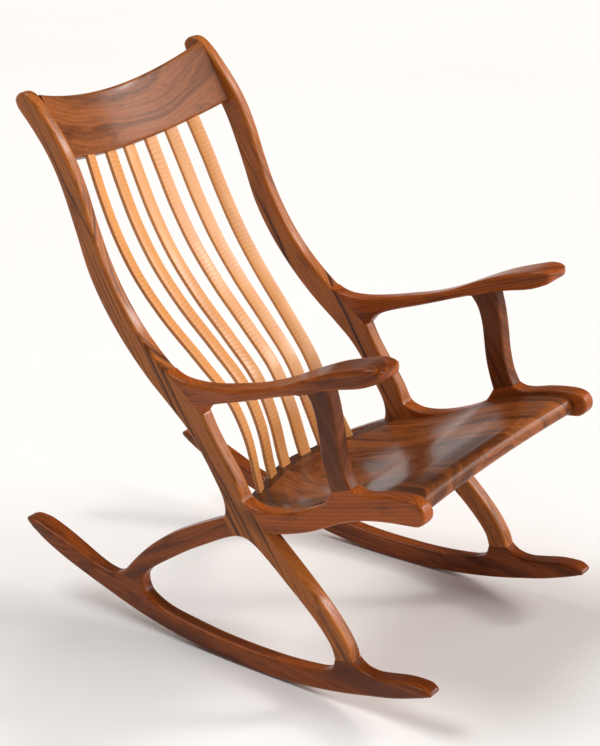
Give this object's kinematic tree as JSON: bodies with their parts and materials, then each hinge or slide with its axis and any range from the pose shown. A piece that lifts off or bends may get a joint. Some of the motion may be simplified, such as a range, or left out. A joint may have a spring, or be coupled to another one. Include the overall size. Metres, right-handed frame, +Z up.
{
  "type": "rocking chair",
  "caption": "Sculpted wooden rocking chair with long curved rockers, arms, a dished board seat and a slatted back under a curved crest rail.",
  "frame": {"origin": "on the floor under the middle of the chair's bounding box, with the chair at rest on its rockers", "axes": "+Z up, -Y towards the sitter's front, +X towards the sitter's left"},
  "size_m": [0.627, 1.1145, 1.148],
  "materials": {
    "walnut_frame": "oiled satin",
    "walnut_seat": "oiled satin",
    "walnut_crest": "oiled satin",
    "maple_slats": "oiled satin",
    "birch_dowels": "bare"
  },
  "bodies": {
    "root": {"left_rocker": "walnut_frame", "left_back_post": "walnut_frame", "left_rear_leg": "walnut_frame", "left_seat_rail": "walnut_frame", "left_arm_post": "walnut_frame", "left_arm": "walnut_frame", "right_rocker": "walnut_frame", "right_back_post": "walnut_frame", "right_rear_leg": "walnut_frame", "right_seat_rail": "walnut_frame", "right_arm_post": "walnut_frame", "right_arm": "walnut_frame", "crest_rail": "walnut_crest", "back_slat_1": "maple_slats", "back_slat_2": "maple_slats", "back_slat_3": "maple_slats", "back_slat_4": "maple_slats", "back_slat_5": "maple_slats", "back_slat_6": "maple_slats", "seat_board_1": "walnut_seat", "seat_board_2": "walnut_seat", "seat_board_3": "walnut_seat", "seat_board_4": "walnut_seat", "seat_board_5": "walnut_seat", "back_slat_rail": "walnut_seat", "left_foot_dowel_1": "birch_dowels", "left_foot_dowel_2": "birch_dowels", "left_rear_leg_foot_dowel": "birch_dowels", "left_rear_leg_head_dowel": "birch_dowels", "left_rail_dowel": "birch_dowels", "left_arm_dowel_1": "birch_dowels", "left_arm_dowel_2": "birch_dowels", "left_arm_post_foot_dowel": "birch_dowels", "left_arm_post_head_dowel": "birch_dowels", "left_crest_dowel_1": "birch_dowels", "left_crest_dowel_2": "birch_dowels", "left_seat_dowel_1": "birch_dowels", "left_seat_dowel_2": "birch_dowels", "left_slat_rail_dowel": "birch_dowels", "right_foot_dowel_1": "birch_dowels", "right_foot_dowel_2": "birch_dowels", "right_rear_leg_foot_dowel": "birch_dowels", "right_rear_leg_head_dowel": "birch_dowels", "right_rail_dowel": "birch_dowels", "right_arm_dowel_1": "birch_dowels", "right_arm_dowel_2": "birch_dowels", "right_arm_post_foot_dowel": "birch_dowels", "right_arm_post_head_dowel": "birch_dowels", "right_crest_dowel_1": "birch_dowels", "right_crest_dowel_2": "birch_dowels", "right_seat_dowel_1": "birch_dowels", "right_seat_dowel_2": "birch_dowels", "right_slat_rail_dowel": "birch_dowels"}
  },
  "joints": []
}
